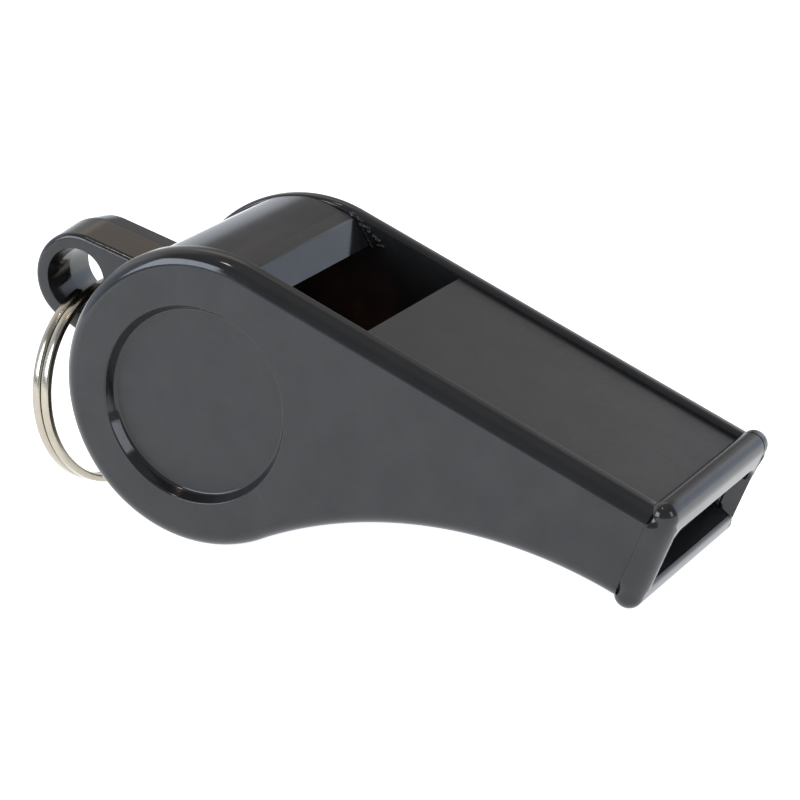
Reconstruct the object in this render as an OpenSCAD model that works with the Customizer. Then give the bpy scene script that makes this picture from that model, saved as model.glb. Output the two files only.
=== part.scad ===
// Pea whistle for sport: a moulded body shell, a flat side cover glued over its open
// side, a cork pea that flies round in the chamber, and a split ring in the lug.
//
// Every module draws its piece in the whistle's own layout: the chamber axis runs along Y
// through the origin, +X points along the top plate to the mouth, +Z points up out of the
// window and the side cover is on +Y. at_rest() then stands the whole whistle on the table,
// on the chamber's round back and the lower lip, as it lies when it is put down.

/* [Side walls] */
// Width of the whistle over both side walls
body_w = 20; // [16:0.5:24]
// Thickness of each side wall
side_wall = 2; // [1.6:0.1:2.4]
// Radius of the side walls round the chamber
wall_r = 11.6; // [11:0.1:13]
// Radius that rounds the outer edge of each side wall
edge_r = 1.3; // [0.6:0.1:1.5]
// Radius of the round recess in each side face
recess_r = 7.65; // [5:0.05:9]
// How far the middle of the recess lies below the chamber axis
recess_drop = 0.3; // [0:0.1:1]
// Depth of the recess
recess_depth = 0.9; // [0.4:0.1:1.2]
// How far the wall of the recess leans in from its rim to its floor
recess_draft = 0.35; // [0.1:0.05:0.8]

/* [Chamber] */
// Step from the rims of the side walls down to the roof and the top plate
rim_step = 0.4; // [0.2:0.05:0.7]
// Thickness of the chamber's wall and roof
roof_wall = 1.3; // [1:0.1:1.6]
// Where the sharp front lip of the roof ends, in front of the chamber axis
lip_x = 2; // [1.5:0.1:3]
// Where the slope of that lip starts on the roof, measured the same way
lip_top_x = 0; // [-1:0.1:0.5]

/* [Mouthpiece] */
// Distance from the chamber axis to the end of the side walls at the mouth
mouth_x = 35.2; // [32:0.1:38]
// Height of the side walls at the mouth
mouth_h = 7.3; // [6.8:0.1:8]
// Distance from the chamber axis to the rear edge of the top plate
plate_x = 9.7; // [9.5:0.1:11]
// Thickness of the top plate
plate_t = 1.3; // [1:0.1:1.7]
// Height of the slot that lets the air out under the rear edge of the top plate
slot_h = 1.1; // [0.8:0.1:1.5]
// Height of the windway at the lips
mouth_gap = 4.4; // [3.6:0.1:4.6]
// Thickness of the windway's floor, the chamber's front wall and the underside
inner_wall = 1.4; // [1:0.1:1.6]
// Angle of the crease where the underside leaves the chamber's round wall
under_crease = 10; // [8:0.5:14]

/* [Mouth collar] */
// Radius of the bead that runs round the mouth
bead_r = 1.1; // [0.9:0.05:1.3]
// How far the bead stands above the rims of the side walls
bead_rise = 0.7; // [0.3:0.05:1]
// How far the bead stands below the underside
bead_drop = 1; // [0.5:0.05:1.3]
// How far the bead stays inside each side face
bead_inset = 0.3; // [0.2:0.05:0.6]
// Distance from the end of the side walls to the middle of the bead
bead_ahead = 0.65; // [0.5:0.05:0.9]
// How far the collar reaches in past each side wall's inner face
lip_inset = 0.3; // [0:0.05:0.5]

/* [Lanyard lug] */
// Width of the lug
lug_w = 6; // [4.5:0.1:6.5]
// How far the middle of the lug's hole stands behind the chamber's round back
lug_stem = 4.05; // [3.8:0.05:5.4]
// How far the middle of the hole lies below the chamber axis
lug_drop = 0.3; // [0:0.1:1]
// Outer radius of the lug's round head
lug_r = 3.75; // [3.5:0.05:4.2]
// Radius of the hole
lug_hole_r = 2.55; // [2.5:0.05:2.8]
// Radius that rounds the lug's edges
lug_edge = 0.4; // [0.2:0.05:0.6]
// How far the middle of the lug's width stands out past its two faces, for the mould
lug_crown = 0.25; // [0.1:0.05:0.4]
// Angle at which the lug's top and bottom flare out towards the chamber
lug_flare = 6.5; // [0:0.5:10]

/* [Pea] */
// Diameter of the cork pea
pea_d = 10; // [8.5:0.1:12]
// Running gap between the pea and the wall of the chamber
pea_gap = 0.3; // [0.2:0.05:0.5]

/* [Split ring] */
// Radius of the ring at the middle of its wire
ring_r = 7.9; // [7:0.1:9]
// Thickness of the flat wire, across the ring
wire_t = 0.6; // [0.4:0.05:0.7]
// Width of the flat wire, along the ring's axis
wire_w = 0.8; // [0.6:0.05:0.9]
// Gap between the two turns
turn_gap = 0.1; // [0.05:0.05:0.15]
// Gap between the hanging ring and the side walls that it hangs against
ring_gap = 0.3; // [0.2:0.05:0.6]
// How far the ring leans sideways
ring_lean = 9.5; // [0:0.5:11]
// How far the middle of the wire hangs below the middle of the hole
ring_sink = 1.05; // [0.8:0.05:1.1]
// How far it rests forward of the middle of the hole
ring_ahead = 0.2; // [0:0.05:0.25]
// Where the ring sits across the width of the lug
ring_shift = 0.4; // [0:0.1:0.6]

/* [Hidden] */
$fn = 96;

// Colours as the photograph shows them
shell_colour = [0.10, 0.11, 0.12];
cover_colour = [0.11, 0.12, 0.13];
cork_colour = [0.45, 0.25, 0.16];
nickel_colour = [0.78, 0.76, 0.70];

// Overrun of every cut past the surface that it opens
over = 1;

// Side walls and the core between them
half_w = body_w / 2;
inner_y = half_w - side_wall;
core_r = wall_r - rim_step;
chamber_r = core_r - roof_wall;

// The underside is one hollow arc, which leaves the chamber's circle in a shallow crease and
// runs level at the mouth. The arc's radius follows from that.
under_z = wall_r - mouth_h;
under_r = (pow(mouth_x, 2) + pow(under_z, 2) - pow(wall_r, 2))
    / (2 * (under_z + wall_r * cos(under_crease)));
under_c = [mouth_x, under_z - under_r];
under_angle = atan2(under_c[1], under_c[0]);

// How far the mouthpiece's edge runs on into the disc, as an angle about the arc's centre
arc_overlap = 1;
// Angle of the disc's sector, from straight up, round the back, to inside the mouthpiece
disc_span = 250;

// Windway
ceiling_z = core_r - plate_t;
slot_z = ceiling_z - slot_h;
lip_floor_z = ceiling_z - mouth_gap;

// Mouth collar: the middle of the bead on each side
bead_x = mouth_x + bead_ahead;
bead_y = half_w - bead_inset - bead_r;
bead_top = wall_r + bead_rise - bead_r;
bead_low = under_z - bead_drop + bead_r;
lips_x = bead_x + bead_r;
lip_y = inner_y - lip_inset;

// Lug
lug_at = [-(wall_r + lug_stem), -lug_drop];
lug_root_x = -(chamber_r - roof_wall / 2);

// Pea: it lies at the lowest point of the chamber
pea_r = pea_d / 2;
pea_path_r = chamber_r - pea_r - pea_gap;

// Split ring: two turns of wire side by side. It hangs forward of the hole until its leaning
// side is a small gap away from the side walls. The wire crosses from one turn to the other
// over the step, and its two ends stop short on either side of that crossing.
turn_pitch = wire_w + turn_gap;
ring_out = ring_ahead + (turn_pitch + wire_w) / 2 + ring_r * sin(ring_lean) + ring_gap;
ring_hang = acos((wall_r + ring_out) / norm(lug_at)) + atan2(lug_drop, wall_r + lug_stem);
wire_corner_share = 0.3;
ring_step = 46;
ring_step_at = 150;
ring_start = ring_step;
ring_end = 720;
ring_slices = 134;

// Rest on the table: the whistle turns about the chamber axis until the bead's lower corner
// and the side walls' round backs touch the same level.
bead_reach = norm([bead_x, bead_low]);
rest_tilt = atan2(bead_low, bead_x) + asin((wall_r - bead_r) / bead_reach);
rear_x = lug_at[0] * cos(rest_tilt) + lug_at[1] * sin(rest_tilt) - lug_r - lug_crown;
front_x = bead_x * cos(rest_tilt) + bead_top * sin(rest_tilt) + bead_r;
mid_x = (rear_x + front_x) / 2;

module at_rest() {
    translate([-mid_x, 0, wall_r]) rotate([0, rest_tilt, 0]) children();
}

// Turns an outline drawn as [x, z] into a slab between two places on Y
module slab(y0, y1) {
    translate([0, y1, 0]) rotate([90, 0, 0]) linear_extrude(height = y1 - y0) children();
}

// Outline of a side wall, drawn in by inset all round: the chamber's circle, the straight
// top, the end at the mouth and the underside
module side_outline(inset = 0) {
    circle(r = wall_r - inset, $fn = 180);
    difference() {
        polygon([[0, 0], under_c, [mouth_x, wall_r - inset], [0, wall_r - inset]]);
        translate(under_c) circle(r = under_r + inset, $fn = 360);
    }
}

// Turns a profile drawn as [distance from the axis, height over y = 0] round an axis along
// Y, from one angle to another above +X. Its height points to -Y.
module turned(from, to) {
    rotate([90, 0, 0]) rotate([0, 0, from]) rotate_extrude(angle = to - from, $fn = 240) children();
}

// Section of a side wall from one place to its edge at reach, with the outer corner of the
// edge rounded. Its height is the wall's thickness.
module wall_section(start, reach) {
    translate([start, 0]) square([reach - edge_r - start, side_wall]);
    translate([start, 0]) square([reach - start, side_wall - edge_r]);
    translate([reach - edge_r, side_wall - edge_r]) intersection() {
        circle(r = edge_r, $fn = 48);
        square(edge_r);
    }
}

// A side wall whose outer edge is rounded all round, drawn for the near side: a sector of a
// disc round the chamber, and the mouthpiece between the straight top and the underside's arc
module side_plate() {
    arc_span = under_r + wall_r + mouth_x;
    translate([0, -inner_y, 0]) {
        turned(90, 90 + disc_span) wall_section(0, wall_r);
        intersection() {
            rotate([180, -90, 0]) linear_extrude(height = mouth_x) wall_section(-2 * wall_r, wall_r);
            translate([under_c[0], 0, under_c[1]]) turned(90, 180 + under_angle + arc_overlap)
                translate([arc_span, 0]) mirror([1, 0]) wall_section(0, arc_span - under_r);
        }
    }
}

// The recess cut in a side face, for the near side
module recess() {
    floor_r = recess_r - recess_draft;
    slope = recess_draft / recess_depth;
    translate([0, -half_w + recess_depth, -recess_drop]) rotate([90, 0, 0])
        cylinder(r1 = floor_r, r2 = recess_r + slope * over, h = recess_depth + over, $fn = 180);
}

// Outline of the walls between the two side plates, without the lug
module core_outline() {
    intersection() {
        side_outline(rim_step);
        translate([-core_r, -core_r]) square([core_r + mouth_x, 2 * core_r]);
    }
}

// The windway: a level-topped duct that narrows from the lips to the slot
module windway_outline() {
    polygon([
        [plate_x - over, slot_z], [plate_x, slot_z], [mouth_x, lip_floor_z],
        [lips_x + over, lip_floor_z], [lips_x + over, ceiling_z], [plate_x - over, ceiling_z]
    ]);
}

// The chamber with the window above it. The front lip of the roof slopes down to a sharp
// edge on the chamber's circle.
module chamber_outline() {
    lip_edge_z = sqrt(pow(chamber_r, 2) - pow(lip_x, 2));
    circle(r = chamber_r, $fn = 180);
    polygon([
        [lip_x, 0], [plate_x, 0], [plate_x, core_r + over], [lip_top_x, core_r + over],
        [lip_top_x, core_r], [lip_x, lip_edge_z]
    ]);
}

// The hollow between the chamber, the windway's floor and the underside. It keeps the walls
// of the moulding even.
module hollow_outline() {
    ramp = (slot_z - lip_floor_z) / (mouth_x - plate_x);
    difference() {
        polygon([
            [plate_x + inner_wall, -core_r], [mouth_x, -core_r],
            [mouth_x, lip_floor_z - inner_wall], [plate_x + inner_wall, slot_z - inner_wall * (1 + ramp)]
        ]);
        circle(r = chamber_r + inner_wall, $fn = 180);
        translate(under_c) circle(r = under_r + rim_step + inner_wall, $fn = 360);
    }
}

// One upright of the collar, for the near side: the bead with its two round ends, cut off
// at the wall's inner face, and the web that reaches in to the mouth between two heights
module upright(web_low, web_top) {
    cut = bead_r + over;
    difference() {
        union() {
            translate([bead_x, -bead_y, bead_low])
                cylinder(r = bead_r, h = bead_top - bead_low, $fn = 48);
            for (z = [bead_low, bead_top])
                translate([bead_x, -bead_y, z]) sphere(r = bead_r, $fn = 48);
        }
        translate([bead_x - cut, -inner_y, bead_low - cut])
            cube([2 * cut, side_wall, bead_top - bead_low + 2 * cut]);
    }
    translate([bead_x - bead_r, -bead_y, bead_low])
        cube([2 * bead_r, bead_y - inner_y, bead_top - bead_low]);
    translate([bead_x - bead_r, -inner_y, web_low]) cube([2 * bead_r, inner_y - lip_y, web_top - web_low]);
}

// The beads that cross the mouth above and below, between two places on Y, each with the
// web that joins it to the lip
module cross_beads(y0, y1) {
    for (z = [bead_low, bead_top])
        translate([bead_x, y1, z]) rotate([90, 0, 0]) cylinder(r = bead_r, h = y1 - y0, $fn = 48);
    translate([bead_x - bead_r, y0, ceiling_z]) cube([2 * bead_r, y1 - y0, bead_top - ceiling_z]);
    translate([bead_x - bead_r, y0, bead_low]) cube([2 * bead_r, y1 - y0, lip_floor_z - bead_low]);
}

// Outline of the lug, drawn in by inset: a round head and two sides that flare towards the
// chamber and touch the head
module lug_outline(inset = 0) {
    r = lug_r - inset;
    side = r * [-sin(lug_flare), cos(lug_flare)];
    root_h = side[1] + (lug_root_x - lug_at[0] - side[0]) * tan(lug_flare);
    translate(lug_at) {
        circle(r = r, $fn = 72);
        polygon([
            side, [lug_root_x - lug_at[0], root_h], [lug_root_x - lug_at[0], -root_h],
            [side[0], -side[1]]
        ]);
    }
}

// The lug, widest in the middle, with its edges rounded in steps
module lug_blank() {
    edge_turns = [0, 30, 60, 90];
    hull() {
        slab(-lug_edge / 2, lug_edge / 2) lug_outline(-lug_crown);
        for (turn = edge_turns) {
            half = lug_w / 2 - lug_edge * (1 - sin(turn));
            slab(-half, half) lug_outline(lug_edge * (1 - cos(turn)));
        }
    }
}

// The hole through the lug, with its rims eased
module lug_hole() {
    ease = lug_edge / 2;
    translate([lug_at[0], 0, lug_at[1]]) rotate([90, 0, 0]) {
        cylinder(r = lug_hole_r, h = lug_w + 2 * over, center = true, $fn = 96);
        for (side = [-1, 1]) translate([0, 0, side * (lug_w / 2 - ease / 2)])
            cylinder(r1 = lug_hole_r + (1 - side) * ease / 2,
                     r2 = lug_hole_r + (1 + side) * ease / 2, h = ease, center = true, $fn = 96);
    }
}

module body_shell() {
    color(shell_colour) difference() {
        union() {
            side_plate();
            slab(-inner_y, inner_y) difference() {
                core_outline();
                chamber_outline();
                windway_outline();
                hollow_outline();
            }
            difference() {
                lug_blank();
                slab(-inner_y, inner_y) circle(r = chamber_r, $fn = 180);
            }
            upright(bead_low, bead_top);
            cross_beads(-bead_y, -inner_y);
            cross_beads(-inner_y, inner_y);
        }
        recess();
        lug_hole();
    }
}

module side_cover() {
    color(cover_colour) mirror([0, 1, 0]) difference() {
        union() {
            side_plate();
            upright(lip_floor_z, ceiling_z);
            cross_beads(-bead_y, -inner_y);
        }
        recess();
    }
}

module pea() {
    color(cork_colour)
        translate([pea_path_r * sin(rest_tilt), 0, -pea_path_r * cos(rest_tilt)]) sphere(r = pea_r);
}

// Place of the wire along the ring's axis at one angle of its run
function turn_place(a) =
    let (t = min(1, max(0, (a - 360) / ring_step)))
    turn_pitch * (t * t * (3 - 2 * t) - 1 / 2);

// The wire's flat section with its corners cut, as [out from the middle, along the axis]
wire_corner = wire_corner_share * wire_t;
wire_section = [
    for (s = [[1, -1], [1, 1], [-1, 1], [-1, -1]])
        let (along = [s[0] * wire_t / 2, s[1] * (wire_w / 2 - wire_corner)],
             across = [s[0] * (wire_t / 2 - wire_corner), s[1] * wire_w / 2])
        each (s[0] * s[1] < 0 ? [across, along] : [along, across])
];

// The split ring as one swept wire, in the ring's own frame with its axis along Z
module wound_wire() {
    sides = len(wire_section);
    points = [
        for (i = [0 : ring_slices])
            let (a = ring_start + (ring_end - ring_start) * i / ring_slices)
            for (p = wire_section)
                [(ring_r + p[0]) * cos(a), (ring_r + p[0]) * sin(a), p[1] + turn_place(a)]
    ];
    walls = [
        for (i = [0 : ring_slices - 1], j = [0 : sides - 1])
            let (k = (j + 1) % sides, a = i * sides, b = a + sides)
            each [[a + j, b + k, b + j], [a + j, a + k, b + k]]
    ];
    ends = [[for (j = [sides - 1 : -1 : 0]) j], [for (j = [0 : sides - 1]) ring_slices * sides + j]];
    polyhedron(points = points, faces = concat(walls, ends), convexity = 4);
}

module split_ring() {
    color(nickel_colour)
        translate([lug_at[0], ring_shift, lug_at[1]])
            rotate([0, -ring_hang, 0])
                translate([ring_ahead, 0, -ring_sink - ring_r])
                    rotate([0, 0, -ring_lean]) rotate([0, 90, 0]) rotate([0, 0, ring_step_at])
                        wound_wire();
}

at_rest() body_shell();
at_rest() side_cover();
at_rest() pea();
at_rest() split_ring();
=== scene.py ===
"""Looks of a moulded pea whistle: black plastic body with a glued side cover, cork pea and split ring.

Shapes are built in the whistle's own layout, in millimetres: the chamber axis runs along Y
through the origin, +X points along the top line to the mouth and +Z up out of the window.
place() stands them on the table in the frame's metres.
"""

import math
import random

import bmesh
import bpy
import numpy as np
from mathutils import Matrix, Vector
from mathutils.geometry import delaunay_2d_cdt


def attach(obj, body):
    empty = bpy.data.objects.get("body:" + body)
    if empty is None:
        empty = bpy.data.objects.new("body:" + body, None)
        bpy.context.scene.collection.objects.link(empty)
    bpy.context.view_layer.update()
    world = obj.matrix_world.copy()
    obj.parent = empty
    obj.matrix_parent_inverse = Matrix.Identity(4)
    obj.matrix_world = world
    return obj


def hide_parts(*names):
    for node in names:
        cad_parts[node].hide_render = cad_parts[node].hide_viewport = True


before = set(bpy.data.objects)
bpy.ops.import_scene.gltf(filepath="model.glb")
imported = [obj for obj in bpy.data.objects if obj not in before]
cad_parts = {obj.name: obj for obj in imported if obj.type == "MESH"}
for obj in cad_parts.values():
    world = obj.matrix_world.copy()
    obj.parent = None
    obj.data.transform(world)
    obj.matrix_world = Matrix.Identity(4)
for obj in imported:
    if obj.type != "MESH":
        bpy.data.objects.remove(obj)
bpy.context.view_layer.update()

# Sizes of the solids, in millimetres
HALF_W, INNER_Y = 10.0, 8.0
WALL_R, CORE_R, CHAMBER_R = 11.6, 11.2, 9.9
EDGE_R = 1.3
MOUTH_X, LIPS_X = 35.2, 36.95
PLATE_X, CEILING_Z, SLOT_Z, LIP_FLOOR_Z = 9.7, 9.9, 8.8, 5.5
LIP_X = 2.0
RECESS_R, RECESS_FLOOR_R, RECESS_DEPTH, RECESS_DROP = 7.65, 7.3, 0.9, 0.3
BEAD_R, BEAD_X, BEAD_TOP, BEAD_LOW = 1.1, 35.85, 11.2, 4.4
LUG_AT = (-15.65, -0.3)
LUG_R, LUG_HALF, LUG_HOLE_R, LUG_CROWN, LUG_FLARE = 3.75, 3.0, 2.55, 0.25, 6.5
PEA_R, PEA_GAP = 5.0, 0.3

# The underside as the photograph shows it: a little lower than in the solids, with less of a crease
UNDER_Z, UNDER_CREASE = 3.95, 3.0

# The whistle rests on the chamber's round back and the lower lip
BEAD_REACH = math.hypot(BEAD_X, BEAD_LOW)
TILT = math.atan2(BEAD_LOW, BEAD_X) + math.asin((WALL_R - BEAD_R) / BEAD_REACH)
COS, SIN = math.cos(TILT), math.sin(TILT)
REAR_X = LUG_AT[0] * COS + LUG_AT[1] * SIN - LUG_R - LUG_CROWN
FRONT_X = BEAD_X * COS + BEAD_TOP * SIN + BEAD_R
MID_X = (REAR_X + FRONT_X) / 2


def place(points):
    """Points of the whistle's layout, in millimetres, to the frame's metres."""
    p = np.asarray(points, float).reshape(-1, 3)
    x = p[:, 0] * COS + p[:, 2] * SIN - MID_X
    z = -p[:, 0] * SIN + p[:, 2] * COS + WALL_R
    return np.stack([x, p[:, 1], z], axis=1) / 1000


# Mesh building


FILL_INSIDE, FILL_MERGE = 1, 1e-7  # keep the triangles inside the loops, merge closer points
WELD = 2e-7  # points of a piece that are closer than this become one, in metres
BEVEL_STEPS, NORMAL_WEIGHT = 3, 80


class Build:
    """Collects points and faces of one piece, in the whistle's layout."""

    def __init__(self):
        self.points = []
        self.faces = []

    def loop(self, points):
        start = len(self.points)
        self.points.extend(tuple(p) for p in points)
        return list(range(start, len(self.points)))

    def strip(self, a, b):
        """Joins two closed loops of points by quads."""
        n = len(a)
        for i in range(n):
            j = (i + 1) % n
            self.faces.append((a[i], a[j], b[j], b[i]))

    def loft(self, rows, ring=False):
        """Joins closed rows of points by quads. A ring joins the last row to the first."""
        loops = [self.loop(r) for r in rows]
        for a, b in zip(loops, loops[1:]):
            self.strip(a, b)
        if ring:
            self.strip(loops[-1], loops[0])
        return loops

    def plane_with_hole(self, outer, inner, flat):
        """Fills between two flat loops. flat gives a point's two coordinates in their plane."""
        ids = outer + inner
        co = [Vector(flat(self.points[i])) for i in ids]
        n, m = len(outer), len(inner)
        edges = [(i, (i + 1) % n) for i in range(n)]
        edges += [(n + i, n + (i + 1) % m) for i in range(m)]
        _, _, tris, origin, _, _ = delaunay_2d_cdt(co, edges, [], FILL_INSIDE, FILL_MERGE)
        for t in tris:
            corners = [origin[k][0] for k in t]
            if min(corners) < n:  # three points of the hole's loop would lie inside the hole
                self.faces.append(tuple(ids[k] for k in corners))


def make_piece(name, builds, body, material, node=None, sharp=35, bevel=0.0):
    """One object from one or more builds, which may run into each other. Edges sharper than
    sharp, in degrees, stay hard, or are eased by bevel, in millimetres."""
    points, faces = [], []
    for b in builds:
        start = len(points)
        points.extend(b.points)
        faces.extend(tuple(i + start for i in f) for f in b.faces)
    mesh = bpy.data.meshes.new(name)
    mesh.from_pydata([tuple(p) for p in place(points)], [], faces)
    bm = bmesh.new()
    bm.from_mesh(mesh)
    bmesh.ops.remove_doubles(bm, verts=bm.verts, dist=WELD)
    bmesh.ops.recalc_face_normals(bm, faces=bm.faces)
    bm.to_mesh(mesh)
    bm.free()
    mesh.polygons.foreach_set("use_smooth", [True] * len(mesh.polygons))
    mesh.set_sharp_from_angle(angle=math.radians(sharp))
    mesh.materials.append(material)
    piece = bpy.data.objects.new(name, mesh)
    bpy.context.scene.collection.objects.link(piece)
    if bevel:
        m = piece.modifiers.new("eased edges", "BEVEL")
        m.width = bevel / 1000
        m.segments = BEVEL_STEPS
        m.limit_method = "ANGLE"
        m.angle_limit = math.radians(sharp)
    w = piece.modifiers.new("weighted normals", "WEIGHTED_NORMAL")
    w.keep_sharp = True
    w.weight = NORMAL_WEIGHT
    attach(piece, body)
    if node:
        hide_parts(node)
    return piece


def arc(centre, radius, start, end, count):
    """Points on an arc in the whistle's side plane, angles in degrees, both ends included."""
    return [
        (centre[0] + radius * math.cos(math.radians(a)), centre[1] + radius * math.sin(math.radians(a)))
        for a in np.linspace(start, end, count)
    ]


def quarter(radius, count=8):
    """Steps of a quarter round as (across, along), from (0, 0) to (radius, radius)."""
    return [
        (radius * (1 - math.cos(a)), radius * math.sin(a)) for a in np.linspace(0, math.pi / 2, count + 1)
    ]


# Side outline: chamber circle, eased crease, hollow underside, mouth end and straight top

CREASE_EASE = 14.0  # radius of the arc that eases the crease
UNDER_R = (MOUTH_X**2 + UNDER_Z**2 - WALL_R**2) / (
    2 * (UNDER_Z + WALL_R * math.cos(math.radians(UNDER_CREASE)))
)
UNDER_C = (MOUTH_X, UNDER_Z - UNDER_R)


def crease_centre():
    """Middle of the arc that eases the crease: it touches the chamber circle and the underside."""
    reach = math.hypot(*UNDER_C)
    a, b = WALL_R + CREASE_EASE, UNDER_R - CREASE_EASE
    turn = math.acos((a * a + reach * reach - b * b) / (2 * a * reach))
    way = math.atan2(UNDER_C[1], UNDER_C[0])
    return max((a * math.cos(way + t), a * math.sin(way + t)) for t in (turn, -turn))


def side_outline(inset, end_x=MOUTH_X):
    """Closed outline of a side wall, drawn in by inset, counter-clockwise from the top."""
    middle = crease_centre()
    leave = math.degrees(math.atan2(middle[1], middle[0]))
    to_c = math.degrees(math.atan2(middle[1] - UNDER_C[1], middle[0] - UNDER_C[0]))
    circle = arc((0, 0), WALL_R - inset, 90, 360 + leave, 150)
    ease = arc(middle, CREASE_EASE + inset, 180 + leave, to_c, 10)
    under = arc(UNDER_C, UNDER_R + inset, to_c, 90, 60)
    under = [(min(x, end_x), z) for x, z in under]
    end = [(end_x, z) for z in np.linspace(under[-1][1], WALL_R - inset, 8)[1:]]
    top = [(x, WALL_R - inset) for x in np.linspace(end_x, 0, 40)[1:-1]]
    return circle[:-1] + ease[:-1] + under + end + top


INNER_EASE = {-1: 0.15, 1: 0.34}  # rounding of each side wall's inner edge
END_EASE = 0.14  # rounding of the walls' ends, beside the collar's uprights
RIM_EASE, FOOT_EASE = 0.16, 0.22  # rounding of the recess's rim and of its foot


def side_wall(side):
    """A side wall with a rounded outer edge and its round recess. side is -1 near, +1 far."""
    b = Build()
    inner_ease = INNER_EASE[side]
    rows = [(inner_ease - along, INNER_Y + across) for across, along in quarter(inner_ease, 5)]
    rows += [(across, HALF_W - EDGE_R + along) for across, along in quarter(EDGE_R, 12)]
    sections = []
    for inset, y in rows:
        up = max(0.0, y - (HALF_W - END_EASE)) / END_EASE
        end_x = MOUTH_X - END_EASE * (1 - math.sqrt(1 - min(1.0, up) ** 2))
        sections.append([(x, side * y, z) for x, z in side_outline(inset, end_x)])
    loops = b.loft(sections)
    b.faces.append(tuple(loops[0]))
    # The recess from its rim to its floor, as (radius, place along Y)
    profile = [
        (RECESS_R + RIM_EASE, HALF_W),
        (RECESS_R + RIM_EASE * 0.62, HALF_W - 0.015),
        (RECESS_R + RIM_EASE * 0.30, HALF_W - 0.06),
        (RECESS_R + RIM_EASE * 0.05, HALF_W - 0.14),
        (RECESS_R - 0.07, HALF_W - 0.28),
        (RECESS_FLOOR_R + 0.06, HALF_W - RECESS_DEPTH + FOOT_EASE),
        (RECESS_FLOOR_R - 0.02, HALF_W - RECESS_DEPTH + 0.07),
        (RECESS_FLOOR_R - 0.12, HALF_W - RECESS_DEPTH + 0.015),
        (RECESS_FLOOR_R - FOOT_EASE, HALF_W - RECESS_DEPTH),
    ]
    circles = b.loft(
        [(x, side * y, z) for x, z in arc((0, -RECESS_DROP), r, 0, 360, 145)[:-1]] for r, y in profile
    )
    b.faces.append(tuple(circles[-1]))
    b.plane_with_hole(loops[-1], circles[0], lambda p: (p[0], p[2]))
    return b


# Core: chamber wall, roof with its sloped lip, windway floor, underside and top plate


def extruded(outline, y0, y1):
    """A closed outline in the side plane, drawn out between two places on Y."""
    b = Build()
    loops = b.loft([[(x, y, z) for x, z in outline] for y in (y0, y1)])
    b.faces.append(tuple(loops[0]))
    b.faces.append(tuple(loops[1]))
    return b


CAP_DEPTH = 0.35  # how far the core runs into both side walls
ROOF_RISE = 0.28
ROOF_FROM, ROOF_TO = 90, 139  # degrees round the chamber; beyond, the swinging ring needs the room
ROOF_UP, ROOF_DOWN = 25, 12  # degrees over which the rise comes and goes


def smooth(t):
    """Eases from 0 to 1 as t goes from 0 to 1."""
    t = min(1.0, max(0.0, t))
    return t * t * (3 - 2 * t)


def roof_point(p):
    """Moves a point of the core's circle out to the roof, which rises a little behind the lip."""
    angle = math.degrees(math.atan2(p[1], p[0])) % 360
    if not ROOF_FROM < angle < ROOF_TO:
        return p
    rise = ROOF_RISE * smooth((angle - ROOF_FROM) / ROOF_UP) * smooth((ROOF_TO - angle) / ROOF_DOWN)
    grow = 1 + rise / CORE_R
    return (p[0] * grow, p[1] * grow)


def chamber_wall():
    inset = WALL_R - CORE_R
    outer = [roof_point(p) for p in side_outline(inset)]
    top_start = next(i for i, p in enumerate(outer) if p[0] >= MOUTH_X and p[1] > UNDER_Z + inset + 0.01)
    outer = outer[:top_start]
    edge_z = math.sqrt(CHAMBER_R**2 - LIP_X**2)
    front_z = math.sqrt(CHAMBER_R**2 - PLATE_X**2)
    start, end = math.degrees(math.atan2(front_z, PLATE_X)), math.degrees(math.atan2(edge_z, LIP_X))
    inner = arc((0, 0), CHAMBER_R, start, end - 360, 150)
    outline = outer + [(MOUTH_X, LIP_FLOOR_Z), (PLATE_X, SLOT_Z)] + inner
    return extruded(outline, -INNER_Y - CAP_DEPTH, INNER_Y + CAP_DEPTH)


def top_plate():
    outline = [(PLATE_X, CEILING_Z), (MOUTH_X, CEILING_Z), (MOUTH_X, CORE_R), (PLATE_X, CORE_R)]
    return extruded(outline, -INNER_Y - CAP_DEPTH, INNER_Y + CAP_DEPTH)


# Collar round the mouth: a half tube along a frame of beads and uprights, with flat lips

UPRIGHT = (35.42, 8.30, 1.64)  # middle of an upright's round edge, x and y, and its radius
BALL = (BEAD_X, 8.56, 1.1)  # the same for the round corner at each end of an upright
OPENING_Y, OPENING_TOP_R, OPENING_LOW_R = 7.7, 1.0, 0.3
LIP_EASE = 0.3  # rounding of the lips into the opening
TUBE_START = 200  # degrees round the tube where its section starts, at the back in the walls
FLARE_END = 42  # degrees of the cover's upright that its flared inside cuts away


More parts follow.
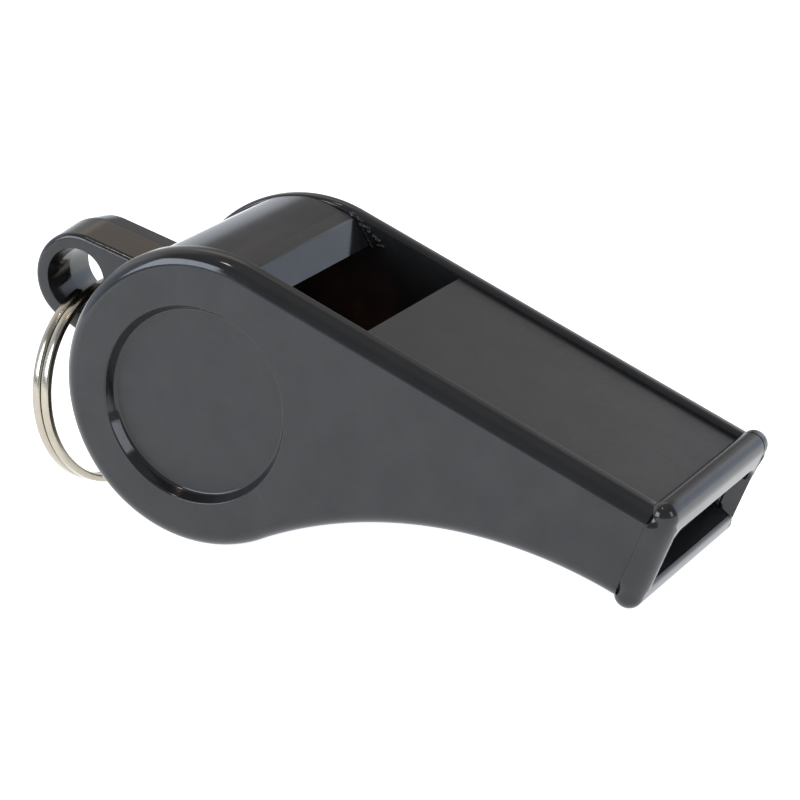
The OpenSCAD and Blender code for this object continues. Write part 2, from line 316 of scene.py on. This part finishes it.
def collar_nodes(side):
    """Stations from the top bead's middle round one side to the lower bead's middle.
    Each is (middle of the tube, outward way, radius, point of the opening, its outward way,
    share of the flare that opens the cover's upright to the outside)."""
    nodes = []
    x0, y0, r0 = BALL
    xs, ys, rs = UPRIGHT
    for y in np.linspace(0, 1, 9):
        mid = (x0, side * y * y0, BEAD_TOP)
        hole = (side * y * (OPENING_Y - OPENING_TOP_R), CEILING_Z)
        nodes.append((mid, (0, 1), BEAD_R, hole, (0, 1), 0))
    for t in np.linspace(0, 1, 11)[1:]:
        a = math.radians(90 - 90 * t)
        way = (side * math.cos(a), math.sin(a))
        hole = (
            side * (OPENING_Y - OPENING_TOP_R * (1 - way[0] * side)),
            CEILING_Z - OPENING_TOP_R * (1 - way[1]),
        )
        nodes.append(((x0, side * y0, BEAD_TOP), way, r0, hole, way, 0))
    span = BEAD_TOP - BEAD_LOW
    for t in np.linspace(0, 1, 31)[1:]:
        z = BEAD_TOP - span * t
        # w is 0 at the corners, where the tube is a bead, and 1 where the upright is full
        w = smooth((BEAD_TOP - 0.1 - z) / 0.7) * smooth((z - BEAD_LOW) / 1.4)
        mid = (x0 + (xs - x0) * w, side * (y0 + (ys - y0) * w), z)
        hole = (
            side * OPENING_Y,
            CEILING_Z - OPENING_TOP_R + (LIP_FLOOR_Z + OPENING_LOW_R - CEILING_Z + OPENING_TOP_R) * t,
        )
        flare = smooth((BEAD_TOP - 0.3 - z) / 0.9) if side > 0 else 0
        nodes.append((mid, (side, 0), r0 + (rs - r0) * w, hole, (side, 0), flare))
    for t in np.linspace(0, 1, 11)[1:]:
        a = math.radians(-90 * t)
        way = (side * math.cos(a), math.sin(a))
        mid = (x0, side * y0, BEAD_LOW)
        hole = (
            side * (OPENING_Y - OPENING_LOW_R * (1 - way[0] * side)),
            LIP_FLOOR_Z + OPENING_LOW_R * (1 + way[1]),
        )
        flare = 1 - smooth(1.6 * t) if side > 0 else 0
        nodes.append((mid, way, r0, hole, way, flare))
    for y in np.linspace(1, 0, 9)[1:]:
        mid = (x0, side * y * y0, BEAD_LOW)
        hole = (side * y * (OPENING_Y - OPENING_LOW_R), LIP_FLOOR_Z)
        nodes.append((mid, (0, -1), BEAD_R, hole, (0, -1), 0))
    return nodes


def collar_row(node):
    """Points across the collar at one station, from its back over the outside into the mouth."""
    (x, y, z), way, r, hole, hole_way, flare = node
    row = []
    end = FLARE_END * flare
    for a in np.linspace(math.radians(TUBE_START), math.radians(end), 17):
        out = r * math.sin(a)
        row.append((x + r * math.cos(a), y + way[0] * out, z + way[1] * out))
    edge = (hole[0] + hole_way[0] * LIP_EASE, hole[1] + hole_way[1] * LIP_EASE)
    lip = [(LIPS_X, y + (edge[0] - y) * t, z + (edge[1] - z) * t) for t in (0.5, 1.0)]
    for a in np.linspace(0, math.pi / 2, 6)[1:]:
        out = LIP_EASE * (1 - math.sin(a))
        lip.append(
            (
                LIPS_X - LIP_EASE * (1 - math.cos(a)),
                hole[0] + hole_way[0] * out,
                hole[1] + hole_way[1] * out,
            )
        )
    # The flared inside runs straight from the tube's cut edge back to the wall's inner face
    tip = row[-1]
    foot = (MOUTH_X + 0.05, hole[0], hole[1])
    steps = (0.03, 0.08, 0.2, 0.4, 0.6, 0.8, 1.0)
    for p, t in zip(lip, steps):
        line = [a + (b - a) * t for a, b in zip(tip, foot)]
        row.append(tuple(a + (b - a) * flare for a, b in zip(p, line)))
    row.append((MOUTH_X - 0.5, hole[0], hole[1]))
    return row


def cut_flat(build, y, keep):
    """Cuts a build at y and closes the cut. keep is -1 for the part below y, +1 above."""
    bm = bmesh.new()
    verts = [bm.verts.new(p) for p in build.points]
    for f in build.faces:
        bm.faces.new([verts[i] for i in f])
    bmesh.ops.remove_doubles(bm, verts=bm.verts, dist=1e-5)
    cut = bmesh.ops.bisect_plane(
        bm,
        geom=bm.verts[:] + bm.edges[:] + bm.faces[:],
        plane_co=(0, y, 0),
        plane_no=(0, 1, 0),
        clear_outer=keep < 0,
        clear_inner=keep > 0,
    )
    edges = [e for e in cut["geom_cut"] if isinstance(e, bmesh.types.BMEdge)]
    bmesh.ops.holes_fill(bm, edges=edges, sides=0)
    out = Build()
    bm.verts.index_update()
    out.points = [tuple(v.co) for v in bm.verts]
    out.faces = [tuple(v.index for v in f.verts) for f in bm.faces]
    bm.free()
    return out


def whole_collar():
    near, far = collar_nodes(-1), collar_nodes(1)
    b = Build()
    b.loft([collar_row(n) for n in near + far[-2:0:-1]], ring=True)
    return b


# Lanyard lug: round head, flared sides, a mould ridge near the middle and the hole

LUG_ROOT_R = 10.5  # the root follows this radius, inside the thickness of the chamber's wall
LUG_EDGE, BORE_EASE, BORE_DRAFT = 0.45, 0.1, 0.12
RIDGE_Y, RIDGE_LIFT, RIDGE_SLOPE = 0.5, 0.14, 0.07
RIDGE_SIDES = (-0.18, -0.05, 0.05, 0.18)  # sections beside the ridge
BORE_WAIST = 0.06  # half the length of the bore's narrowest part
FLARE_STEPS = 13  # points on each of the lug's flared sides


def lug_outline(out):
    """Outline of the lug grown by out, starting at the root's top."""
    r = LUG_R + out
    flare = math.radians(LUG_FLARE)
    side = (-r * math.sin(flare), r * math.cos(flare))

    def root_x(z):
        return -math.sqrt(LUG_ROOT_R**2 - (z + LUG_AT[1]) ** 2) - LUG_AT[0]

    root_h = side[1]
    for _ in range(8):
        root_h = side[1] + (root_x(root_h) - side[0]) * math.tan(flare)
    pts = [
        (x, side[1] + (x - side[0]) * math.tan(flare))
        for x in np.linspace(root_x(root_h), side[0], FLARE_STEPS + 1)[:-1]
    ]
    pts += arc((0, 0), r, 90 + LUG_FLARE, 270 - LUG_FLARE, 72)
    pts += [(x, -z) for x, z in pts[:FLARE_STEPS][::-1]]
    pts += [(root_x(z), z) for z in np.linspace(-root_h, root_h, FLARE_STEPS + 1)[1:-1]]
    return [(LUG_AT[0] + x, LUG_AT[1] + z) for x, z in pts]


def lug():
    b = Build()
    rows = [(-(LUG_HALF - LUG_EDGE + q[1]), -q[0]) for q in quarter(LUG_EDGE, 6)[::-1]]
    beside = [RIDGE_Y + step for step in RIDGE_SIDES]
    rows += [(y, LUG_CROWN - abs(y - RIDGE_Y) * RIDGE_SLOPE) for y in beside]
    rows += [(LUG_HALF - LUG_EDGE + q[1], -q[0]) for q in quarter(LUG_EDGE, 6)]
    sections = []
    for y, grown in rows:
        lift = RIDGE_LIFT * smooth((y + LUG_HALF - LUG_EDGE) / (RIDGE_Y + LUG_HALF - LUG_EDGE))
        sections.append(
            [(x, y, z + lift * smooth((z - LUG_AT[1]) / LUG_R)) for x, z in lug_outline(grown)]
        )
    loops = b.loft(sections)
    bore = [(-LUG_HALF + q[0], LUG_HOLE_R + BORE_EASE - q[1]) for q in quarter(BORE_EASE, 4)]
    bore += [(y, LUG_HOLE_R - BORE_DRAFT) for y in (-BORE_WAIST, BORE_WAIST)]
    bore += [(LUG_HALF - q[0], LUG_HOLE_R + BORE_EASE - q[1]) for q in quarter(BORE_EASE, 4)[::-1]]
    circles = b.loft([(x, y, z) for x, z in arc(LUG_AT, r, 0, 360, 97)[:-1]] for y, r in bore)
    b.plane_with_hole(loops[0], circles[0], lambda p: (p[0], p[2]))
    b.plane_with_hole(loops[-1], circles[-1], lambda p: (p[0], p[2]))
    return b


# Materials


def nodes_of(material):
    """Clears a material and gives its node tree and the one shader in it."""
    material.use_nodes = True
    tree = material.node_tree
    tree.nodes.clear()
    out = tree.nodes.new("ShaderNodeOutputMaterial")
    shader = tree.nodes.new("ShaderNodeBsdfPrincipled")
    tree.links.new(shader.outputs["BSDF"], out.inputs["Surface"])
    return tree, shader


def add(tree, kind, inputs=None, **props):
    """Adds a node. An input is a constant, or a socket of another node."""
    n = tree.nodes.new(kind)
    for k, v in props.items():
        setattr(n, k, v)
    for k, v in (inputs or {}).items():
        if hasattr(v, "node"):
            tree.links.new(v, n.inputs[k])
        else:
            n.inputs[k].default_value = v
    return n


def millimetres(tree):
    """Object coordinates in millimetres."""
    co = add(tree, "ShaderNodeTexCoord")
    return add(
        tree, "ShaderNodeVectorMath", {0: co.outputs["Object"], 1: (1000, 1000, 1000)}, operation="MULTIPLY"
    ).outputs[0]


def noise(tree, co, scale, detail=3.0, rough=0.5):
    return add(
        tree, "ShaderNodeTexNoise", {"Vector": co, "Scale": scale, "Detail": detail, "Roughness": rough}
    ).outputs["Fac"]


def remap(tree, value, a0, a1, b0, b1):
    return add(
        tree,
        "ShaderNodeMapRange",
        {"Value": value, "From Min": a0, "From Max": a1, "To Min": b0, "To Max": b1},
    ).outputs["Result"]


def math_node(tree, op, a, b):
    return add(tree, "ShaderNodeMath", {0: a, 1: b}, operation=op).outputs[0]


def mix_colour(tree, fac, a, b):
    """Goes from colour a to colour b. The numbers are the node's own sockets for colours."""
    return add(tree, "ShaderNodeMix", {0: fac, 6: a, 7: b}, data_type="RGBA").outputs[2]


TOP_NORMAL = (SIN, 0.0, COS)
CHAMBER_AXIS = (-MID_X, 0.0, WALL_R)


def black_plastic(name):
    """Moulded black plastic: satin on the flat side faces and the top plate, glossy elsewhere,
    where the mould was polished."""
    material = bpy.data.materials.new(name)
    tree, shader = nodes_of(material)
    co = millimetres(tree)
    normal = add(tree, "ShaderNodeTexCoord").outputs["Normal"]
    split = add(tree, "ShaderNodeSeparateXYZ", {0: normal})
    side = remap(tree, math_node(tree, "ABSOLUTE", split.outputs[1], 0.0), 0.985, 0.9995, 0.0, 1.0)
    top = add(tree, "ShaderNodeVectorMath", {0: normal, 1: TOP_NORMAL}, operation="DOT_PRODUCT")
    top = remap(tree, top.outputs["Value"], 0.9985, 0.9999, 0.0, 1.0)
    place_of = add(tree, "ShaderNodeSeparateXYZ", {0: co})
    across = math_node(tree, "ABSOLUTE", place_of.outputs[1], 0.0)
    inside = remap(tree, across, INNER_Y + 0.01, INNER_Y + 0.04, 1.0, 0.0)
    top = math_node(tree, "MULTIPLY", top, inside)  # the rims of the side walls are polished
    flat = math_node(tree, "MAXIMUM", side, top)
    cloud = noise(tree, co, 0.18, 4.0, 0.6)
    fine = noise(tree, co, 2.6, 3.0, 0.55)
    grain = noise(tree, co, 14.0, 2.0, 0.6)
    base = mix_colour(tree, cloud, (0.0075, 0.0080, 0.0090, 1), (0.0130, 0.0133, 0.0137, 1))
    # Painted reddish glow in patches on the walls inside the chamber, standing in for warm light reflected
    # there
    reach = add(
        tree, "ShaderNodeVectorMath", {0: co, 1: CHAMBER_AXIS}, operation="SUBTRACT"
    ).outputs[0]
    reach = add(tree, "ShaderNodeVectorMath", {0: reach, 1: (1, 0, 1)}, operation="MULTIPLY").outputs[0]
    reach = add(tree, "ShaderNodeVectorMath", {0: reach}, operation="LENGTH").outputs["Value"]
    in_chamber = math_node(tree, "MULTIPLY", inside, remap(tree, reach, 5.5, 9.95, 1.0, 0.0))
    patchy = remap(tree, noise(tree, co, 0.5), 0.3, 0.65, 0.35, 1.0)
    painted_glow_mask = math_node(tree, "MULTIPLY", in_chamber, patchy)
    # Mixes the painted reddish glow into the plastic's colour
    base_with_painted_glow = mix_colour(tree, painted_glow_mask, base, (0.065, 0.036, 0.026, 1))
    tree.links.new(base_with_painted_glow, shader.inputs["Base Color"])
    # Smudges from handling dull the shine in patches
    smudge = remap(tree, noise(tree, co, 0.32, 5.0, 0.62), 0.35, 0.68, 0.54, 0.47)
    tree.links.new(smudge, shader.inputs["Specular IOR Level"])
    rough = remap(tree, flat, 0.0, 1.0, 0.09, 0.34)
    rough = math_node(tree, "ADD", rough, remap(tree, cloud, 0.3, 0.7, -0.03, 0.05))
    rough = math_node(tree, "ADD", rough, remap(tree, fine, 0.35, 0.75, -0.02, 0.05))
    tree.links.new(rough, shader.inputs["Roughness"])
    # Fine handling scratches: noise stretched along the whistle
    along = {"Vector": co, "Rotation": (0, math.radians(12), 0), "Scale": (0.35, 9.0, 5.0)}
    stretched = add(tree, "ShaderNodeMapping", along).outputs[0]
    scratch = noise(tree, stretched, 1.3, 2.0, 0.7)
    scratch = remap(tree, scratch, 0.63, 0.7, 0.0, 1.0)
    height = math_node(tree, "MULTIPLY", grain, 0.35)
    height = math_node(tree, "ADD", height, math_node(tree, "MULTIPLY", fine, 0.5))
    height = math_node(tree, "SUBTRACT", height, math_node(tree, "MULTIPLY", scratch, 0.1))
    bump = add(tree, "ShaderNodeBump", {"Height": height, "Strength": 0.22, "Distance": 0.00001})
    tree.links.new(bump.outputs[0], shader.inputs["Normal"])
    shader.inputs["IOR"].default_value = 1.5
    return material


def nickel():
    """Bright nickel plate with rolling marks along the wire, and cloudy darker brown patches in its colour
    that are painted reflections.
    """
    material = bpy.data.materials.new("nickel plate")
    tree, shader = nodes_of(material)
    co = millimetres(tree)
    cloud = noise(tree, co, 0.9, 3.0, 0.6)
    fine = noise(tree, co, 9.0, 3.0, 0.6)
    # Painted reflection: the colour goes in cloudy patches from pale cream to a darker brown
    base = mix_colour(tree, cloud, (0.48, 0.45, 0.375, 1), (0.37, 0.33, 0.26, 1))
    tree.links.new(base, shader.inputs["Base Color"])
    shader.inputs["Metallic"].default_value = 1.0
    rough = remap(tree, fine, 0.3, 0.75, 0.1, 0.26)
    tree.links.new(rough, shader.inputs["Roughness"])
    bump = add(tree, "ShaderNodeBump", {"Height": fine, "Strength": 0.25, "Distance": 0.00001})
    tree.links.new(bump.outputs[0], shader.inputs["Normal"])
    return material


def cork():
    """Dry cork: warm reddish brown grain with dark pores."""
    material = bpy.data.materials.new("cork")
    tree, shader = nodes_of(material)
    co = millimetres(tree)
    cells = add(tree, "ShaderNodeTexVoronoi", {"Vector": co, "Scale": 1.6}).outputs["Distance"]
    cloud = noise(tree, co, 0.7, 4.0, 0.6)
    pores = noise(tree, co, 2.3, 4.0, 0.7)
    pore = remap(tree, pores, 0.56, 0.66, 0.0, 1.0)
    base = mix_colour(tree, cloud, (0.62, 0.27, 0.13, 1), (0.38, 0.15, 0.07, 1))
    dark = mix_colour(tree, pore, base, (0.07, 0.025, 0.012, 1))
    tree.links.new(dark, shader.inputs["Base Color"])
    shader.inputs["Roughness"].default_value = 0.88
    height = math_node(tree, "SUBTRACT", cells, math_node(tree, "MULTIPLY", pore, 0.8))
    bump = add(tree, "ShaderNodeBump", {"Height": height, "Strength": 0.8, "Distance": 0.0001})
    tree.links.new(bump.outputs[0], shader.inputs["Normal"])
    return material


shell_material = black_plastic("black shell plastic")
cover_material = black_plastic("black cover plastic")
nickel_material = nickel()
cork_material = cork()

# The two mouldings

SEAM_Y, SEAM_GAP = 8.05, 0.14  # where the cover's collar meets the shell's, and the seam's width
CORE_BEVEL = 0.12
collar = whole_collar()
shell_collar = cut_flat(collar, SEAM_Y - SEAM_GAP / 2, -1)
cover_collar = cut_flat(collar, SEAM_Y + SEAM_GAP / 2, 1)

core = [chamber_wall(), top_plate()]
make_piece(
    "body_shell_walls", core, "housing", shell_material, "body_shell", bevel=CORE_BEVEL
)
make_piece("body_shell_side", [side_wall(-1)], "housing", shell_material)
make_piece("body_shell_collar", [shell_collar], "housing", shell_material, sharp=50)
make_piece("body_shell_lug", [lug()], "housing", shell_material, sharp=40)
make_piece("side_cover_wall", [side_wall(1)], "housing", cover_material, "side_cover")
make_piece("side_cover_collar", [cover_collar], "housing", cover_material, sharp=50)


# Split ring: two turns of flat wire with rounded corners, in the place of the solid ring

RING_R, WIRE_T, WIRE_W, TURN_GAP = 7.9, 0.6, 0.8, 0.1
WIRE_CORNER, CORNER_STEPS, RING_SECTIONS = 0.2, 4, 420
# The ring hangs forward of the hole until its leaning side is 0.3 mm off the side walls. Hang and
# lean are in degrees, the others say where the wire passes the hole's middle, in millimetres.
RING_HANG, RING_LEAN, RING_SINK, RING_AHEAD, RING_SHIFT = 25.50652856, 9.5, 1.05, 0.2, 0.4
RING_STEP, RING_STEP_AT = 46.0, 150.0  # degrees of the step between the turns, and where it is


def wire_section():
    """The wire's section as (out from the middle, along the ring's axis)."""
    pts = []
    for cx, cy, start in ((1, 1, 0), (-1, 1, 90), (-1, -1, 180), (1, -1, 270)):
        for a in np.linspace(start, start + 90, CORNER_STEPS + 1):
            pts.append(
                (
                    cx * (WIRE_T / 2 - WIRE_CORNER) + WIRE_CORNER * math.cos(math.radians(a)),
                    cy * (WIRE_W / 2 - WIRE_CORNER) + WIRE_CORNER * math.sin(math.radians(a)),
                )
            )
    return pts


def ring_build():
    b = Build()
    pitch = WIRE_W + TURN_GAP
    section = wire_section()
    place_ring = (
        Matrix.Translation((LUG_AT[0], RING_SHIFT, LUG_AT[1]))
        @ Matrix.Rotation(math.radians(-RING_HANG), 4, "Y")
        @ Matrix.Translation((RING_AHEAD, 0, -RING_SINK - RING_R))
        @ Matrix.Rotation(math.radians(-RING_LEAN), 4, "Z")
        @ Matrix.Rotation(math.radians(90), 4, "Y")
        @ Matrix.Rotation(math.radians(RING_STEP_AT), 4, "Z")
    )
    rows = []
    for a in np.linspace(RING_STEP, 720, RING_SECTIONS):
        along = pitch * (smooth((a - 360) / RING_STEP) - 0.5)
        c, s = math.cos(math.radians(a)), math.sin(math.radians(a))
        rows.append(
            [tuple(place_ring @ Vector(((RING_R + o) * c, (RING_R + o) * s, w + along))) for o, w in section]
        )
    loops = b.loft(rows)
    b.faces.append(tuple(loops[0]))
    b.faces.append(tuple(loops[-1]))
    return b


make_piece("split_ring_wire", [ring_build()], "ring", nickel_material, "split_ring", sharp=60)

# Cork pea at the bottom of the chamber

CORK_DENTS, DENT_DEPTH, DENT_LIMIT, CORK_SKIN = 120, 0.09, 0.16, 0.02


def pea_build():
    b = Build()
    bm = bmesh.new()
    bmesh.ops.create_icosphere(bm, subdivisions=5, radius=1)
    random.seed(7)
    reach = CHAMBER_R - PEA_R - PEA_GAP
    centre = Vector((reach * math.sin(TILT), 0, -reach * math.cos(TILT)))
    dents = [
        (Vector([random.uniform(-1, 1) for _ in range(3)]).normalized(), random.uniform(0.05, 0.16))
        for _ in range(CORK_DENTS)
    ]
    for v in bm.verts:
        n = v.co.normalized()
        depth = 0.0
        for way, size in dents:
            d = (n - way).length / size
            if d < 1:
                depth += DENT_DEPTH * (1 - d * d) ** 2
        v.co = n * (PEA_R - CORK_SKIN - min(depth, DENT_LIMIT))
    bm.verts.index_update()
    b.points = [tuple(centre + v.co) for v in bm.verts]
    b.faces = [tuple(v.index for v in f.verts) for f in bm.faces]
    bm.free()
    return b


make_piece("cork_pea", [pea_build()], "pea", cork_material, "pea", sharp=80)


# Squeezed-out glue where the cover meets the far end of the roof's lip and the far rim


def glue_build():
    b = Build()
    random.seed(21)
    spots = []
    # Small drops along the lip's far end, larger lumps over them, fine ones on the roof's far edge
    for t in np.arange(16) / 15:
        x = LIP_X * t
        z = CORE_R + (math.sqrt(CHAMBER_R**2 - LIP_X**2) - CORE_R) * t
        spots.append((x + 0.1, INNER_Y - 0.02, z + 0.03, random.uniform(0.09, 0.2)))
    for _ in range(13):
        t = random.uniform(-0.15, 1.25)
        x = LIP_X * t + random.uniform(0.0, 0.7)
        z = CORE_R - 0.75 * t + random.uniform(-0.35, 0.1)
        spots.append((x, INNER_Y + 0.04, z, random.uniform(0.16, 0.3)))
    for _ in range(34):
        a = math.radians(random.uniform(86, 150))
        spots.append(
            (
                CORE_R * math.cos(a),
                INNER_Y - random.uniform(0.0, 0.05),
                CORE_R * math.sin(a),
                random.uniform(0.05, 0.13),
            )
        )
    for x, y, z, r in spots:
        bm = bmesh.new()
        bmesh.ops.create_icosphere(bm, subdivisions=2, radius=r)
        stretch = Vector((random.uniform(0.8, 1.8), random.uniform(0.7, 1.3), random.uniform(0.6, 1.0)))
        start = len(b.points)
        for v in bm.verts:
            b.points.append((x + v.co.x * stretch.x, y + v.co.y * stretch.y, z + v.co.z * stretch.z))
        bm.verts.index_update()
        b.faces.extend(tuple(v.index + start for v in f.verts) for f in bm.faces)
        bm.free()
    return b


make_piece("side_cover_glue", [glue_build()], "housing", cover_material, sharp=80)

# Camera, floor and light. The camera is where the photograph was taken from.

CAMERA_AT = (0.1117266, -0.210393, 0.0869494)
camera_data = bpy.data.cameras.new("camera")
camera_data.lens = 148.3515
camera_data.sensor_width = 36
camera_data.clip_start = 0.01
camera_data.clip_end = 20
camera = bpy.data.objects.new("camera", camera_data)
# Its own axes: right and up in the picture, and back, away from the whistle
right = Vector((0.890510, 0.454100, -0.026737))
up = Vector((-0.117162, 0.285700, 0.951130))
back = Vector((0.439588, -0.843870, 0.307636))
camera.matrix_world = Matrix.Translation(CAMERA_AT) @ Matrix(
    (
        (right.x, up.x, back.x, 0),
        (right.y, up.y, back.y, 0),
        (right.z, up.z, back.z, 0),
        (0, 0, 0, 1),
    )
)
bpy.context.scene.collection.objects.link(camera)
bpy.context.scene.camera = camera

FLOOR = 3  # metres from the middle of the floor to its edges
floor_mesh = bpy.data.meshes.new("floor")
corners = [(-FLOOR, -FLOOR, 0), (FLOOR, -FLOOR, 0), (FLOOR, FLOOR, 0), (-FLOOR, FLOOR, 0)]
floor_mesh.from_pydata(corners, [], [(0, 1, 2, 3)])
floor = bpy.data.objects.new("floor", floor_mesh)
bpy.context.scene.collection.objects.link(floor)
floor_material = bpy.data.materials.new("white table")
_, floor_shader = nodes_of(floor_material)
floor_shader.inputs["Base Color"].default_value = (0.80, 0.80, 0.80, 1)
floor_shader.inputs["Roughness"].default_value = 0.7
floor_shader.inputs["Emission Color"].default_value = (0.985, 1.0, 1.03, 1)
floor_shader.inputs["Emission Strength"].default_value = 0.97
floor_mesh.materials.append(floor_material)


LIGHT_DISTANCE = 0.9


def softbox(name, azimuth, elevation, size, power, colour):
    """An area light that faces the whistle. Azimuth 0 is behind it, 90 on +X's side."""
    data = bpy.data.lights.new(name, "AREA")
    data.shape = "RECTANGLE"
    data.size, data.size_y = size
    data.energy = power
    data.color = colour
    lamp = bpy.data.objects.new(name, data)
    a, e = math.radians(azimuth), math.radians(elevation)
    way = Vector((math.sin(a) * math.cos(e), math.cos(a) * math.cos(e), math.sin(e)))
    lamp.location = way * LIGHT_DISTANCE + Vector((0, 0, 0.01))
    lamp.rotation_euler = way.to_track_quat("Z", "Y").to_euler()
    bpy.context.scene.collection.objects.link(lamp)


softbox("window light", 218, 23, (0.50, 0.45), 3.8, (0.90, 0.97, 1.08))
softbox("right light", 98, 25, (0.26, 0.50), 1.25, (0.92, 0.96, 1.10))
softbox("lamp", 212, 74, (0.07, 0.07), 0.34, (1.0, 0.84, 0.66))

world = bpy.data.worlds.new("studio")
bpy.context.scene.world = world
world.use_nodes = True
sky = world.node_tree
sky.nodes.clear()
sky_out = sky.nodes.new("ShaderNodeOutputWorld")
sky_light = sky.nodes.new("ShaderNodeBackground")
sky_way = add(sky, "ShaderNodeTexCoord").outputs["Generated"]
sky_height = add(sky, "ShaderNodeSeparateXYZ", {0: sky_way}).outputs[2]
sky_ramp = add(sky, "ShaderNodeValToRGB", {0: sky_height})
ramp = sky_ramp.color_ramp
ramp.elements[0].position = 0.0
ramp.elements[0].color = (0.55, 0.58, 0.62, 1)
ramp.elements[1].position = 1.0
ramp.elements[1].color = (0.50, 0.50, 0.50, 1)
for position, value in ((0.3, 0.33), (0.5, 0.38), (0.75, 0.33), (0.88, 0.38)):
    ramp.elements.new(position).color = (value, value, value * 1.03, 1)


def glow(light, azimuth, elevation, spread, colour):
    """Adds a soft bright patch of the room, spread degrees wide, to a light colour."""
    a, e = math.radians(azimuth), math.radians(elevation)
    way = (math.sin(a) * math.cos(e), math.cos(a) * math.cos(e), math.sin(e))
    near = add(sky, "ShaderNodeVectorMath", {0: sky_way, 1: way}, operation="DOT_PRODUCT").outputs["Value"]
    edge = math.cos(math.radians(spread))
    part = add(
        sky,
        "ShaderNodeMapRange",
        {"Value": near, "From Min": edge, "From Max": 1.0, "To Min": 0.0, "To Max": 1.0},
        interpolation_type="SMOOTHERSTEP",
    ).outputs["Result"]
    patch = add(sky, "ShaderNodeVectorMath", {0: colour, 3: part}, operation="SCALE").outputs[0]
    return add(sky, "ShaderNodeVectorMath", {0: light, 1: patch}, operation="ADD").outputs[0]


sky_colour = sky_ramp.outputs[0]
# Bright patches of the room, as (azimuth, elevation, spread, colour)
for patch in (
    (25, 8, 34, (0.68, 0.78, 0.98)),
    (3, 13, 22, (0.84, 0.83, 0.81)),
    (296, 38, 38, (0.6, 0.56, 0.52)),
    (262, 16, 36, (0.5, 0.62, 0.8)),
    (338, 43, 17, (0.62, 0.50, 0.38)),
    (322, -2, 26, (0.42, 0.45, 0.50)),
    (203, 1, 15, (0.20, 0.38, 0.62)),
):
    sky_colour = glow(sky_colour, *patch)
sky.links.new(sky_colour, sky_light.inputs[0])
sky.links.new(sky_light.outputs[0], sky_out.inputs[0])

bpy.context.scene.view_settings.view_transform = "Standard"
